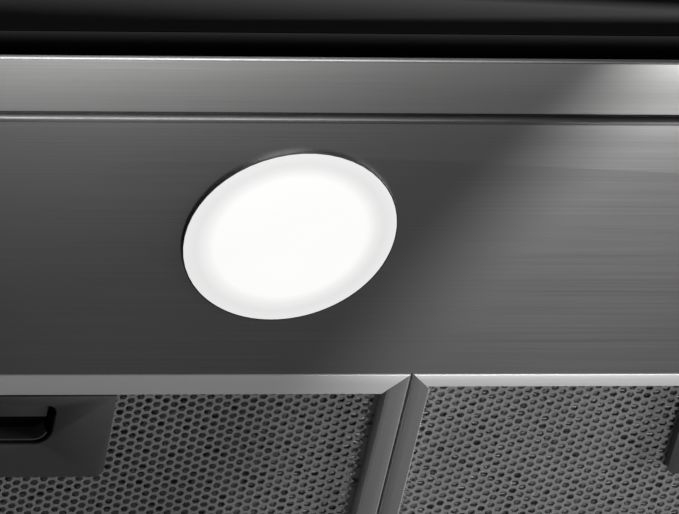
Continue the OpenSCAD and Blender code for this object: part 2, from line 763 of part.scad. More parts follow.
module filter_frame() color(ALUMINIUM) {
    inner = [filter_w - 2 * stile_w, filter_d - 2 * rail_w];
    difference() {
        tube_ring([filter_w, filter_d], inner, under_z, under_z + filter_t);
        // the groove that grips the mesh
        translate([0, 0, mesh_z]) linear_extrude(mesh_t)
            square(inner + 2 * [mesh_grip, mesh_grip], center = true);
        // round lower rear edge, about the hinge
        difference() {
            span([-filter_w, hinge_y, under_z - 1], [filter_w, filter_d, hinge_z]);
            translate([0, hinge_y, hinge_z]) rod_x(hinge_inset, -filter_w, filter_w);
        }
        hinge_notches();
        span([-tongue_w / 2 - slot_play, -filter_d, tongue_z - slot_play],
            [tongue_w / 2 + slot_play, -filter_d / 2 + rail_w + 1, tongue_z + tongue_t + slot_play]);
    }
    for (s = [-1, 1]) translate([s * notch_x, hinge_y, hinge_z])
        rod_x(hinge_pin_r, -notch_w / 2 - 1, notch_w / 2 + 1);
}

module filter_mesh() color(ALUMINIUM) difference() {
    size = [filter_w - 2 * stile_w + 2 * mesh_grip, filter_d - 2 * rail_w + 2 * mesh_grip];
    translate([0, 0, mesh_z]) linear_extrude(mesh_t) square(size, center = true);
    hinge_notches();
    span([-recess_w / 2 - 3, -filter_d, under_z],
        [recess_w / 2 + 3, recess_y + recess_d + 3, under_z + filter_t]);
}

// The latch plate's outline: square at the rail, round corners at the back
module latch_outline() {
    far = latch_y + latch_d;
    side = latch_w / 2 - latch_corner;
    difference() {
        polygon([[latch_taper - latch_w / 2, latch_y], [latch_w / 2 - latch_taper, latch_y],
            [latch_w / 2, far], [-latch_w / 2, far]]);
        both_sides() difference() {
            translate([side, far - latch_corner]) square(latch_corner + 1);
            translate([side, far - latch_corner]) circle(latch_corner);
        }
    }
}

module recess_outline(grow) {
    w = recess_w / 2 + grow;
    translate([-w, recess_y - grow]) difference() {
        square([2 * w, recess_d + 2 * grow]);
        for (sx = [0, 1], sy = [0, 1])
            translate([sx * 2 * w, sy * (recess_d + 2 * grow)]) mirror([sx, 0]) mirror([0, sy])
                difference() {
                    r = recess_corners[sy];
                    translate([-1, -1]) square(r + 1);
                    translate([r, r]) circle(r);
                }
    }
}

module latch_plate() color(DARK_STEEL) difference() {
    union() {
        translate([0, 0, latch_z]) linear_extrude(latch_t) latch_outline();
        span([latch_corner - latch_w / 2, -filter_d / 2 + rail_w, latch_z + latch_t - latch_foot],
            [latch_w / 2 - latch_corner, latch_y + 1, latch_z + latch_t]);
        translate([0, 0, latch_z]) linear_extrude(cup_top_z - latch_z) recess_outline(cup_wall);
    }
    translate([0, 0, latch_z - 1]) linear_extrude(cup_top_z - latch_z + 1 - cup_wall) recess_outline(0);
    span([-tongue_w / 2 - slot_play, latch_y - 1, tongue_z - slot_play],
        [tongue_w / 2 + slot_play, recess_y + 1, tongue_z + tongue_t + slot_play]);
}

// The spring latch: a finger bar in the recess and a tongue that enters the light panel's lip
module latch_slider() color(BLACK) {
    span([-slider_bar_w / 2, slider_bar_y, slider_bar_z],
        [slider_bar_w / 2, slider_bar_y + slider_bar_d, slider_bar_z + slider_bar_h]);
    span([-tongue_w / 2, -filter_d / 2 - tongue_reach, tongue_z],
        [tongue_w / 2, slider_bar_y + 1, tongue_z + tongue_t]);
}

module filter_frame_left() at_filter(-1) filter_frame();
module filter_frame_middle() at_filter(0) filter_frame();
module filter_frame_right() at_filter(1) filter_frame();
module filter_mesh_left() at_filter(-1) filter_mesh();
module filter_mesh_middle() at_filter(0) filter_mesh();
module filter_mesh_right() at_filter(1) filter_mesh();
module latch_plate_left() at_filter(-1) latch_plate();
module latch_plate_middle() at_filter(0) latch_plate();
module latch_plate_right() at_filter(1) latch_plate();
module latch_slider_left() at_filter(-1) latch_slider();
module latch_slider_middle() at_filter(0) latch_slider();
module latch_slider_right() at_filter(1) latch_slider();

// ---------------------------------------------------------------- the whole hood

ceiling_plate();
upper_posts();
upper_frame_brace();
upper_chimney_front();
upper_chimney_rear();
upper_chimney_screws();
frame_bolts();
frame_nuts();
lower_posts();
lower_frame_brace();
lower_chimney_front();
lower_chimney_rear();
lower_chimney_screws();
canopy_front();
canopy_rear();
canopy_left();
canopy_right();
canopy_rim();
canopy_top_plate();
light_panel();
panel_screws();
fascia_rail();
fascia_glass();
control_housing();
control_board();
lamp_bezels();
lamp_lenses();
lamp_heatsinks();
led_driver();
junction_box();
cable_gland();
wiring_harness();
scroll_housing();
scroll_side_plates();
motor();
motor_bracket();
impeller();
motor_shaft();
damper_collar();
damper_pin();
damper_flap_front();
damper_flap_rear();
filter_clips();
power_button();
low_speed_button();
medium_speed_button();
high_speed_button();
light_button();
filter_frame_left();
filter_frame_middle();
filter_frame_right();
filter_mesh_left();
filter_mesh_middle();
filter_mesh_right();
latch_plate_left();
latch_plate_middle();
latch_plate_right();
latch_slider_left();
latch_slider_middle();
latch_slider_right();
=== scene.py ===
import json
import math

import bmesh
import bpy
from mathutils import Matrix, Vector

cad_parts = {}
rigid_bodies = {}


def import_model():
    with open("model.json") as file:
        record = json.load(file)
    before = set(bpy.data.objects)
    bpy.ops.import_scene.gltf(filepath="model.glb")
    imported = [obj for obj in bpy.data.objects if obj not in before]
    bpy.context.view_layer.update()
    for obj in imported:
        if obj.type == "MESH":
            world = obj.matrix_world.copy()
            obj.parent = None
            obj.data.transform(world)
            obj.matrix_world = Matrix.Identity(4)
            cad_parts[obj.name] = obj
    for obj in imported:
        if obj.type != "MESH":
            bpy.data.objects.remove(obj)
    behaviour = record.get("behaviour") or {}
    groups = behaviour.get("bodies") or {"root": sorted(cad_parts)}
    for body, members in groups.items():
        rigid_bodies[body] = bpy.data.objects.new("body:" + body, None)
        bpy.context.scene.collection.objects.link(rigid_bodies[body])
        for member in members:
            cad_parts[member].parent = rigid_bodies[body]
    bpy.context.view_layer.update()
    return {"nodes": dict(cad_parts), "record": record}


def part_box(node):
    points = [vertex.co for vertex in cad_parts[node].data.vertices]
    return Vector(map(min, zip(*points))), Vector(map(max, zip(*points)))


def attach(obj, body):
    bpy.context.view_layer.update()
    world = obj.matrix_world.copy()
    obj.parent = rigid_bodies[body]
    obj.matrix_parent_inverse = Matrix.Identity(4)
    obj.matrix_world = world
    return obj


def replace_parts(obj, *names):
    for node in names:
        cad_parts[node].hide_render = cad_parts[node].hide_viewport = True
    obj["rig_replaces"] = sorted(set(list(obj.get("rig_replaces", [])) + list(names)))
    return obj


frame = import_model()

MM = 0.001
SIDES = ("left", "middle", "right")
BUTTONS = (
    "power_button", "low_speed_button", "medium_speed_button", "high_speed_button", "light_button",
)
SLOT_OF = {part["node"]: part["material_slot"] for part in frame["record"]["subparts"]}
BODY_OF = {
    node: body
    for body, nodes in frame["record"]["behaviour"]["bodies"].items()
    for node in nodes
}

rim_low, rim_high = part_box("canopy_rim")
lens_low, lens_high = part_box("lamp_lenses")
UNDER_Z = rim_low.z
LENS_R = 34.9 * MM
LAMP_X = lens_high.x - LENS_R
LAMP_Y = lens_high.y - LENS_R
FRONT_LEFT_LAMP = Vector((-LAMP_X, -LAMP_Y, UNDER_Z))

# ---------------------------------------------------------------- camera

VIEW_RIGHT = Vector((0.96153, -0.18042, -0.20715))
VIEW_UP = Vector((-0.0015, -0.75752, 0.65282))
VIEW_FORWARD = Vector((0.2747, 0.62739, 0.72864))
CAMERA_DISTANCE = 3.0
SENSOR_WIDTH = 36.0
FOCAL_LENGTH = 497.5
AIM_RIGHT_OF_LAMP = 16.0 * MM
AIM_BELOW_LAMP = 7.06 * MM


def make_camera():
    """A long lens below the hood's front left corner, looking up at the lamp and the filters."""
    data = bpy.data.cameras.new("camera")
    data.sensor_fit = "HORIZONTAL"
    data.sensor_width = SENSOR_WIDTH
    data.lens = FOCAL_LENGTH
    data.clip_start = 0.05
    data.clip_end = 50.0
    data.dof.use_dof = False
    camera = bpy.data.objects.new("camera", data)
    bpy.context.scene.collection.objects.link(camera)
    aim = FRONT_LEFT_LAMP + AIM_RIGHT_OF_LAMP * VIEW_RIGHT - AIM_BELOW_LAMP * VIEW_UP
    place = aim - CAMERA_DISTANCE * VIEW_FORWARD
    turn = Matrix((VIEW_RIGHT, VIEW_UP, -VIEW_FORWARD)).transposed().to_4x4()
    camera.matrix_world = Matrix.Translation(place) @ turn
    bpy.context.scene.camera = camera


make_camera()

# ---------------------------------------------------------------- node helpers


def add_node(tree, kind, **settings):
    """Adds a shader node; a setting named like an input socket sets that socket."""
    node = tree.nodes.new(kind)
    for key, value in settings.items():
        if hasattr(node, key):
            setattr(node, key, value)
        else:
            node.inputs[key.replace("_", " ")].default_value = value
    return node


def link(tree, source, target):
    tree.links.new(source, target)


def math_node(tree, operation, *values):
    """A Math node on sockets or numbers; returns its result."""
    node = add_node(tree, "ShaderNodeMath", operation=operation)
    for index, value in enumerate(values):
        if isinstance(value, (int, float)):
            node.inputs[index].default_value = value
        else:
            link(tree, value, node.inputs[index])
    return node.outputs[0]


def vector_node(tree, operation, *values):
    """A Vector Math node on sockets or tuples; returns its vector."""
    node = add_node(tree, "ShaderNodeVectorMath", operation=operation)
    for index, value in enumerate(values):
        if isinstance(value, tuple):
            node.inputs[index].default_value = value
        else:
            link(tree, value, node.inputs[index])
    return node.outputs[0]


def remap(tree, value, low, high, new_low, new_high):
    """Maps low..high of a socket to new_low..new_high, clamped."""
    node = add_node(tree, "ShaderNodeMapRange")
    link(tree, value, node.inputs["Value"])
    node.inputs["From Min"].default_value = low
    node.inputs["From Max"].default_value = high
    node.inputs["To Min"].default_value = new_low
    node.inputs["To Max"].default_value = new_high
    return node.outputs["Result"]


def mix(tree, kind, factor, first, second):
    """Mixes two colours or vectors, each a tuple or a socket; returns the mixed socket."""
    node = add_node(tree, "ShaderNodeMix", data_type=kind)
    link(tree, factor, node.inputs["Factor"])
    ends = [s for s in node.inputs if s.name in ("A", "B") and s.type == kind]
    for end, value in zip(ends, (first, second)):
        if isinstance(value, tuple):
            end.default_value = value
        else:
            link(tree, value, end)
    return next(s for s in node.outputs if s.type == kind)


def shade(tree, factor, dark, bright):
    """A colour between two greys or tints, chosen by a factor socket."""
    return mix(tree, "RGBA", factor, (*dark, 1.0), (*bright, 1.0))


def weighted(tree, first, share, second):
    """The first socket's share, filled up with the second."""
    part = math_node(tree, "MULTIPLY", first, share)
    rest = math_node(tree, "MULTIPLY", second, 1 - share)
    return math_node(tree, "ADD", part, rest)


def noise(tree, vector, scale, detail=2.0, roughness=0.5):
    node = add_node(tree, "ShaderNodeTexNoise")
    link(tree, vector, node.inputs["Vector"])
    node.inputs["Scale"].default_value = scale
    node.inputs["Detail"].default_value = detail
    node.inputs["Roughness"].default_value = roughness
    return node.outputs["Fac"]


def bump(tree, height, strength, distance):
    node = add_node(tree, "ShaderNodeBump")
    node.inputs["Strength"].default_value = strength
    node.inputs["Distance"].default_value = distance
    link(tree, height, node.inputs["Height"])
    return node.outputs["Normal"]


def scaled(colour, factor):
    return tuple(min(1.0, channel * factor) for channel in colour)


def separate(tree, vector):
    """The outputs X, Y and Z of a vector socket."""
    node = add_node(tree, "ShaderNodeSeparateXYZ")
    link(tree, vector, node.inputs[0])
    return node.outputs


def distance_past(tree, value, limit):
    """How far the size of a socket's value is past a limit."""
    return math_node(tree, "SUBTRACT", math_node(tree, "ABSOLUTE", value), limit)


def start_material(name, **constants):
    """A material with a Principled shader whose constant sockets are set directly."""
    material = bpy.data.materials.new(name)
    material.use_nodes = True
    tree = material.node_tree
    shader = tree.nodes["Principled BSDF"]
    for key, value in constants.items():
        shader.inputs[key.replace("_", " ")].default_value = value
    coordinates = add_node(tree, "ShaderNodeTexCoord")
    return material, tree, shader, coordinates


# ---------------------------------------------------------------- materials

ALONG_X = (7.0, 1500.0, 1500.0)
ALONG_Y = (1500.0, 7.0, 1500.0)
ALONG_Z = (1500.0, 1500.0, 7.0)
ACROSS_X = (0.0, 1.0, 0.0)
ACROSS_Y = (1.0, 0.0, 0.0)
ACROSS_Z = (0.707, 0.707, 0.0)
NO_SHIFT = (0.0, 0.0, 0.0)
GRAINS = {"x": (ALONG_X, ACROSS_X), "y": (ALONG_Y, ACROSS_Y), "z": (ALONG_Z, ACROSS_Z)}


def grain_factor(tree, coordinates, grain):
    """1 where the brushing runs along Y, 0 where it runs along X."""
    if grain == "faces":
        normal = separate(tree, coordinates.outputs["Normal"])
        side = math_node(tree, "ABSOLUTE", normal["X"])
        front = math_node(tree, "ABSOLUTE", normal["Y"])
        return math_node(tree, "GREATER_THAN", side, front)
    place = separate(tree, coordinates.outputs["Object"])
    from_side = distance_past(tree, place["X"], rim_high.x)
    from_front = distance_past(tree, place["Y"], rim_high.y)
    return math_node(tree, "GREATER_THAN", from_side, from_front)


def brushed_metal(name, colour, roughness, grain="x", contrast=0.05, metallic=1.0):
    """Brushed sheet: long fine scratches, faint cloudy patches, stretched highlights."""
    material, tree, shader, coordinates = start_material(name, Metallic=metallic, Anisotropic=0.5)
    place = coordinates.outputs["Object"]
    if grain in GRAINS:
        stretch, across = GRAINS[grain]
        tangent = vector_node(tree, "ADD", across, NO_SHIFT)
    else:
        turned = grain_factor(tree, coordinates, grain)
        stretch = mix(tree, "VECTOR", turned, ALONG_X, ALONG_Y)
        tangent = mix(tree, "VECTOR", turned, ACROSS_X, ACROSS_Y)
    streak_place = vector_node(tree, "MULTIPLY", place, stretch)
    streaks = noise(tree, streak_place, 1.0, detail=3.0, roughness=0.65)
    clouds = noise(tree, place, 14.0, detail=3.0)
    tone = remap(tree, weighted(tree, streaks, 0.7, clouds), 0.3, 0.7, 0.0, 1.0)
    colours = shade(tree, tone, scaled(colour, 1 - contrast), scaled(colour, 1 + contrast))
    link(tree, colours, shader.inputs["Base Color"])
    rough = remap(tree, streaks, 0.25, 0.75, roughness * 0.95, roughness * 1.05)
    link(tree, rough, shader.inputs["Roughness"])
    link(tree, bump(tree, streaks, 0.02, 0.0002), shader.inputs["Normal"])
    link(tree, tangent, shader.inputs["Tangent"])
    return material


def satin_metal(name, colour, roughness, spangle=0.0, metallic=1.0):
    """Cast, plated or anodised metal: fine mottling, and zinc flakes where spangle is set."""
    material, tree, shader, coordinates = start_material(name, Metallic=metallic)
    place = coordinates.outputs["Object"]
    fine = noise(tree, place, 900.0, detail=3.0)
    clouds = noise(tree, place, 22.0, detail=2.0)
    tone = weighted(tree, fine, 0.5, clouds)
    if spangle > 0:
        flakes = add_node(tree, "ShaderNodeTexVoronoi", feature="F1")
        flakes.inputs["Scale"].default_value = 160.0
        link(tree, place, flakes.inputs["Vector"])
        level = separate(tree, flakes.outputs["Color"])["X"]
        tone = weighted(tree, level, spangle, tone)
    colours = shade(tree, tone, scaled(colour, 0.82), scaled(colour, 1.12))
    link(tree, colours, shader.inputs["Base Color"])
    rough = remap(tree, tone, 0.2, 0.8, roughness * 0.85, roughness * 1.2)
    link(tree, rough, shader.inputs["Roughness"])
    link(tree, bump(tree, fine, 0.04, 0.0002), shader.inputs["Normal"])
    return material


def layered_mesh(name):
    """The filter's inner layers: fine expanded foil, dull, with its gaps painted dark as shade."""
    material, tree, shader, coordinates = start_material(name, Metallic=0.7)
    place = coordinates.outputs["Object"]
    stretched = vector_node(tree, "MULTIPLY", place, (240.0, 420.0, 240.0))
    cells = add_node(tree, "ShaderNodeTexVoronoi", feature="DISTANCE_TO_EDGE")
    cells.inputs["Scale"].default_value = 1.0
    cells.inputs["Randomness"].default_value = 0.55
    link(tree, stretched, cells.inputs["Vector"])
    strand = remap(tree, cells.outputs["Distance"], 0.08, 0.22, 1.0, 0.0)
    # Near black in the cells between the strands: painted shade in the foil's gaps.
    colours = shade(tree, strand, (0.05, 0.05, 0.05), (0.20, 0.20, 0.20))
    link(tree, colours, shader.inputs["Base Color"])
    rough = remap(tree, noise(tree, place, 300.0), 0.3, 0.7, 0.45, 0.6)
    link(tree, rough, shader.inputs["Roughness"])
    link(tree, bump(tree, strand, 0.6, 0.0004), shader.inputs["Normal"])
    return material


def moulded_plastic(name, colour, roughness, grain_scale=1400.0):
    """Injection-moulded plastic with a fine spark-eroded texture."""
    material, tree, shader, coordinates = start_material(name, Metallic=0.0)
    place = coordinates.outputs["Object"]
    pits = noise(tree, place, grain_scale, detail=2.0, roughness=0.6)
    clouds = noise(tree, place, 30.0, detail=3.0)
    tone = weighted(tree, pits, 0.5, clouds)
    colours = shade(tree, tone, scaled(colour, 0.85), scaled(colour, 1.15))
    link(tree, colours, shader.inputs["Base Color"])
    rough = remap(tree, pits, 0.3, 0.7, roughness * 0.9, roughness * 1.1)
    link(tree, rough, shader.inputs["Roughness"])
    link(tree, bump(tree, pits, 0.12, 0.0001), shader.inputs["Normal"])
    return material


def black_glass(name):
    """Back-painted black glass, polished, with a trace of dust in its gloss."""
    material, tree, shader, coordinates = start_material(name, Metallic=0.0, IOR=1.5)
    place = coordinates.outputs["Object"]
    dust = noise(tree, place, 260.0, detail=4.0, roughness=0.7)
    clouds = noise(tree, place, 9.0, detail=2.0)
    colours = shade(tree, clouds, (0.002, 0.002, 0.0022), (0.004, 0.004, 0.0045))
    link(tree, colours, shader.inputs["Base Color"])
    link(tree, remap(tree, dust, 0.3, 0.75, 0.05, 0.13), shader.inputs["Roughness"])
    return material


def circuit_board(name):
    """Green solder mask with fine copper tracks showing through."""
    material, tree, shader, coordinates = start_material(name, Metallic=0.0)
    place = coordinates.outputs["Object"]
    tracks = add_node(tree, "ShaderNodeTexBrick")
    tracks.inputs["Scale"].default_value = 130.0
    tracks.inputs["Mortar Size"].default_value = 0.03
    tracks.inputs["Color1"].default_value = (0.012, 0.10, 0.045, 1)
    tracks.inputs["Color2"].default_value = (0.016, 0.12, 0.055, 1)
    tracks.inputs["Mortar"].default_value = (0.05, 0.22, 0.09, 1)
    link(tree, place, tracks.inputs["Vector"])
    link(tree, tracks.outputs["Color"], shader.inputs["Base Color"])
    rough = remap(tree, noise(tree, place, 500.0), 0.3, 0.7, 0.3, 0.42)
    link(tree, rough, shader.inputs["Roughness"])
    return material


LIT_R = 27.9 * MM
LIT_EDGE = 3.0 * MM


def lit_lens(name):
    """Opal lens, lit: a bright middle and a slightly dimmer rim around each lamp's centre."""
    material, tree, shader, coordinates = start_material(name, Metallic=0.0, Roughness=0.35)
    place = coordinates.outputs["Object"]
    parts = separate(tree, place)
    dx = distance_past(tree, parts["X"], LAMP_X)
    dy = distance_past(tree, parts["Y"], LAMP_Y)
    squares = [math_node(tree, "MULTIPLY", d, d) for d in (dx, dy)]
    radius = math_node(tree, "SQRT", math_node(tree, "ADD", *squares))
    middle = remap(tree, radius, LIT_R - LIT_EDGE, LIT_R + LIT_EDGE, 1.0, 0.0)
    rim = remap(tree, radius, LIT_R, LENS_R, 0.0, 1.0)
    rim_glow = shade(tree, rim, (0.70, 0.70, 0.70), (0.78, 0.78, 0.775))
    glow = mix(tree, "RGBA", middle, rim_glow, (0.93, 0.928, 0.92, 1.0))
    link(tree, glow, shader.inputs["Emission Color"])
    shader.inputs["Emission Strength"].default_value = 1.0
    colours = shade(tree, noise(tree, place, 60.0), (0.03, 0.03, 0.03), (0.05, 0.05, 0.05))
    link(tree, colours, shader.inputs["Base Color"])
    return material


MATERIALS = {
    "stainless_steel": brushed_metal("stainless_steel", (0.60, 0.60, 0.595), 0.30, grain="faces"),
    "rim_steel": brushed_metal(
        "rim_steel", (0.60, 0.60, 0.595), 0.30, grain="mitred", contrast=0.08),
    "chimney_steel": brushed_metal("chimney_steel", (0.60, 0.60, 0.595), 0.30, grain="z"),
    "panel_steel": brushed_metal("panel_steel", (0.365, 0.365, 0.365), 0.30, contrast=0.10),
    # The folds of the rim and the panel are the same steel as the sheets; these darker, rougher
    # copies are painted shade that dims the folds' highlights.
    "fold_painted_shade": satin_metal("fold_painted_shade", (0.16, 0.16, 0.16), 0.6),
    "panel_fold_painted_shade": satin_metal("panel_fold_painted_shade", (0.085, 0.085, 0.085), 0.55),
    "galvanised_steel": satin_metal("galvanised_steel", (0.58, 0.59, 0.60), 0.42, spangle=0.5),
    "filter_aluminium": satin_metal("filter_aluminium", (0.78, 0.78, 0.78), 0.42),
    # Rails and stiles are one aluminium; giving them different, lower greys and metalness is
    # painted shade.
    "rail_aluminium": brushed_metal(
        "rail_aluminium", (0.41, 0.41, 0.41), 0.45, contrast=0.03, metallic=0.65),
    "stile_aluminium": brushed_metal(
        "stile_aluminium", (0.58, 0.58, 0.58), 0.45, grain="y", contrast=0.03),
    "mesh_aluminium": satin_metal("mesh_aluminium", (0.41, 0.41, 0.41), 0.46, metallic=0.9),
    "mesh_layers": layered_mesh("mesh_layers"),
    "motor_metal": satin_metal("motor_metal", (0.33, 0.34, 0.35), 0.45),
    "lamp_bezel": satin_metal("lamp_bezel", (0.10, 0.10, 0.10), 0.45),
    "black_trim": satin_metal("black_trim", (0.003, 0.003, 0.003), 0.2),
    "black_glass": black_glass("black_glass"),
    "grey_plastic": moulded_plastic("grey_plastic", (0.13, 0.13, 0.135), 0.55),
    # Near-black stand-in for the shade inside the finger recesses: painted shade.
    "recess_painted_shade": moulded_plastic("recess_painted_shade", (0.003, 0.003, 0.003), 0.6),
    "black_plastic": moulded_plastic("black_plastic", (0.014, 0.014, 0.014), 0.45),
    "latch_plastic": moulded_plastic("latch_plastic", (0.017, 0.017, 0.017), 0.55),
    "flap_plastic": moulded_plastic("flap_plastic", (0.06, 0.06, 0.06), 0.5),
    "cable_rubber": moulded_plastic(
        "cable_rubber", (0.012, 0.012, 0.012), 0.6, grain_scale=700.0),
    "circuit_board": circuit_board("circuit_board"),
    "button_metal": brushed_metal("button_metal", (0.62, 0.62, 0.62), 0.28),
    "lamp_lens": lit_lens("lamp_lens"),
}

# ---------------------------------------------------------------- mesh helpers

SMOOTH_ANGLE = math.radians(32)
SHARP_ANGLE = math.radians(40)
FLAT_ANGLE = math.radians(1)


def make_piece(name, bm, material, node=None, body=None, edge_material=None):
    """Turns a bmesh into a piece that rides on a body and, given a node, stands for it."""
    mesh = bpy.data.meshes.new(name)
    bm.normal_update()
    bm.to_mesh(mesh)
    bm.free()
    for face in mesh.polygons:
        face.use_smooth = True
    mesh.set_sharp_from_angle(angle=SMOOTH_ANGLE)
    mesh.materials.append(MATERIALS[material])
    if edge_material:
        mesh.materials.append(MATERIALS[edge_material])
    piece = bpy.data.objects.new(name, mesh)
    bpy.context.scene.collection.objects.link(piece)
    if node:
        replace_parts(piece, node)
    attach(piece, body or BODY_OF[node])
    return piece


def cad_bmesh(node):
    """The CAD node's shape as one clean bmesh, without the triangles across its flat faces."""
    source = frame["nodes"][node].data
    bm = bmesh.new()
    verts = [bm.verts.new(v.co) for v in source.vertices]
    for face in source.polygons:
        corners = [verts[i] for i in face.vertices]
        if len(set(corners)) > 2:
            try:
                bm.faces.new(corners)
            except ValueError:
                continue
    bmesh.ops.remove_doubles(bm, verts=bm.verts, dist=1e-6)
    bmesh.ops.dissolve_limit(bm, angle_limit=FLAT_ANGLE, verts=bm.verts, edges=bm.edges)
    bm.normal_update()
    return bm


def sharp_edges(bm, choose=None):
    """Edges where two faces meet at more than 40 degrees, all or those that choose accepts."""
    found = []
    for edge in bm.edges:
        if len(edge.link_faces) == 2 and edge.calc_face_angle(0.0) > SHARP_ANGLE:
            if choose is None or choose(edge):
                found.append(edge)
    return found


def round_edges(bm, width, segments=2, choose=None, material=-1):
    """Bevels the sharp edges, all or those chosen, in the mesh's material of that index."""
    bmesh.ops.bevel(
        bm, geom=sharp_edges(bm, choose), offset=width, offset_type="OFFSET",
        segments=segments, profile=0.5, affect="EDGES", clamp_overlap=True, material=material)


def refined(node, width, material=None, segments=2):
    """The CAD node with its edges broken by a width in mm, as folded or moulded parts are."""
    bm = cad_bmesh(node)
    round_edges(bm, width * MM, segments)
    return make_piece(node + "_finished", bm, material or SLOT_OF[node], node)


def give_material(node, material):
    """A CAD node keeps its shape and gets its finish."""
    data = frame["nodes"][node].data
    data.materials.clear()
    data.materials.append(MATERIALS[material])


# ---------------------------------------------------------------- canopy, chimney and panel

RIM_FOLD = 1.0 * MM
PANEL_FOLD = 2.0 * MM


def near(value, target, reach=0.05 * MM):
    return abs(value - target) < reach


def on_outline(edge, half_x, half_y, z):
    """True for an edge that lies on a rectangle's outline at a height."""
    low, high = edge.verts[0].co, edge.verts[1].co
    if not (near(low.z, z) and near(high.z, z)):
        return False
    along_side = near(abs(low.x), half_x) and near(abs(high.x), half_x)
    along_front = near(abs(low.y), half_y) and near(abs(high.y), half_y)
    return along_side or along_front


def make_folded(node, fold, segments, material, edge_material):
    """A sheet part whose outline on the underside is a rounded fold, in a darker copy of its steel
    as painted shade.
    """
    bm = cad_bmesh(node)
    half_x = max(abs(v.co.x) for v in bm.verts if near(v.co.z, UNDER_Z))
    half_y = max(abs(v.co.y) for v in bm.verts if near(v.co.z, UNDER_Z))
    round_edges(bm, fold, segments, lambda e: on_outline(e, half_x, half_y, UNDER_Z), material=1)
    make_piece(node + "_folded", bm, material, node, edge_material=edge_material)


# The folds take the darker copies of the steel: painted shade.
make_folded("canopy_rim", RIM_FOLD, 4, "rim_steel", "fold_painted_shade")
make_folded("light_panel", PANEL_FOLD, 6, "panel_steel", "panel_fold_painted_shade")

for side in ("front", "rear", "left", "right"):
    refined("canopy_" + side, 0.3, "stainless_steel")
for chimney in ("upper_chimney_", "lower_chimney_"):
    for half in ("front", "rear"):
        refined(chimney + half, 0.3, "chimney_steel")
refined("fascia_glass", 0.5)
refined("fascia_rail", 0.4)
for node in BUTTONS:
    refined(node, 0.45, segments=3)
for side in SIDES:
    refined("latch_slider_" + side, 0.3)

# ---------------------------------------------------------------- lamps


def circle(centre, radius, angles):
    """Points around a centre in the level plane, at angles in degrees."""
    turns = [math.radians(angle) for angle in angles]
    return [centre + Vector((radius * math.cos(t), radius * math.sin(t), 0)) for t in turns]


def lathe(bm, profile, centre, turns=96):
    """Turns a closed profile of (radius, height) pairs around a vertical axis."""
    rings = []
    for radius, height in profile:
        if radius == 0:
            rings.append([bm.verts.new(centre + Vector((0, 0, height)))])
            continue
        middle = centre + Vector((0, 0, height))
        angles = [360 * step / turns for step in range(turns)]
        rings.append([bm.verts.new(point) for point in circle(middle, radius, angles)])
    for first, second in zip(rings, rings[1:]):
        for step in range(turns):
            corners = [first[step % len(first)], first[(step + 1) % len(first)],
                       second[(step + 1) % len(second)], second[step % len(second)]]
            unique = list(dict.fromkeys(corners))
            if len(unique) > 2:
                bm.faces.new(unique)


def make_lenses():
    """Four opal discs: flat rims, slightly raised middles and rounded edges."""
    bm = bmesh.new()
    low = lens_low.z - UNDER_Z
    high = lens_high.z - UNDER_Z
    profile = [
        (0, high), (LENS_R, high), (LENS_R, low + 0.45 * MM),
        (LENS_R - 0.12 * MM, low + 0.2 * MM), (LENS_R - 0.45 * MM, low + 0.1 * MM),
        (LIT_R + 1.2 * MM, low + 0.1 * MM), (LIT_R, low + 0.3 * MM),
        (LIT_R - 1.2 * MM, low + 0.2 * MM), (LIT_R * 0.5, low + 0.02 * MM), (0, low),
    ]
    for x in (-LAMP_X, LAMP_X):
        for y in (-LAMP_Y, LAMP_Y):
            lathe(bm, profile, Vector((x, y, UNDER_Z)))
    bmesh.ops.recalc_face_normals(bm, faces=bm.faces)
    make_piece("lamp_lens_discs", bm, "lamp_lens", "lamp_lenses")


make_lenses()
refined("lamp_bezels", 0.15)

# ---------------------------------------------------------------- grease filters

RAIL_W = 8.7 * MM
STILE_W = 6.7 * MM
# Width of a front rail's flat face, from the outer edge to the slope down to the mesh.
RAIL_FLAT = {"left": 8.5 * MM, "middle": 5.4 * MM, "right": 5.4 * MM}
# How far a rail's flat face bulges, and the steepness of the slope inside it.
CROWN = 0.03 * MM
SLOPE = 1.3


def rail_profile(width, flat, height, outer_radius, inner_radius):
    """Closed cross-section of a filter rail as (inset, height) pairs, from the outside inwards."""
    outer = Vector((outer_radius, outer_radius + CROWN, 0))
    inner = Vector((flat - inner_radius, inner_radius + CROWN, 0))
    slope_top = max(inner_radius + CROWN, (width - flat) * SLOPE)
    points = [(0.0, height)]
    points += [p.xy for p in circle(outer, outer_radius, (180, 202.5, 225, 247.5, 270))]
    points.append((flat * 0.5, 0.0))
    points += [p.xy for p in circle(inner, inner_radius, (270, 292.5, 315, 337.5))]
    points += [(width, slope_top), (width, height)]
    return points


def rail_bar(bm, profile, start, end, inward, mitre_start=True, mitre_end=True):
    """A bar along its outer edge from start to end; its ends are cut square or at 45 degrees."""
    along = (end - start).normalized()
    first, last = [], []
    for inset, height in profile:
        base = inward * inset + Vector((0, 0, height))
        first.append(bm.verts.new(start + base + along * (inset if mitre_start else 0)))
        last.append(bm.verts.new(end + base - along * (inset if mitre_end else 0)))
    count = len(profile)
    for i in range(count):
        j = (i + 1) % count
        bm.faces.new([first[i], first[j], last[j], last[i]])
    bm.faces.new(first[::-1])
    bm.faces.new(last)


# The rear rail has two notches for the hinge clips, with a pin across each.
NOTCH_X = 90 * MM
NOTCH_HALF = 7 * MM
HINGE_INSET = 5 * MM
PIN_R = 1.5 * MM
# Hairline that keeps neighbouring bars apart.
SEAM = 0.06 * MM
RIGHTWARDS = Vector((1, 0, 0))
REARWARDS = Vector((0, 1, 0))


def filter_box(side):
    """The filter frame's lowest and highest corner and its middle in x."""
    low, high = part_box("filter_frame_" + side)
    return low, high, (low.x + high.x) / 2


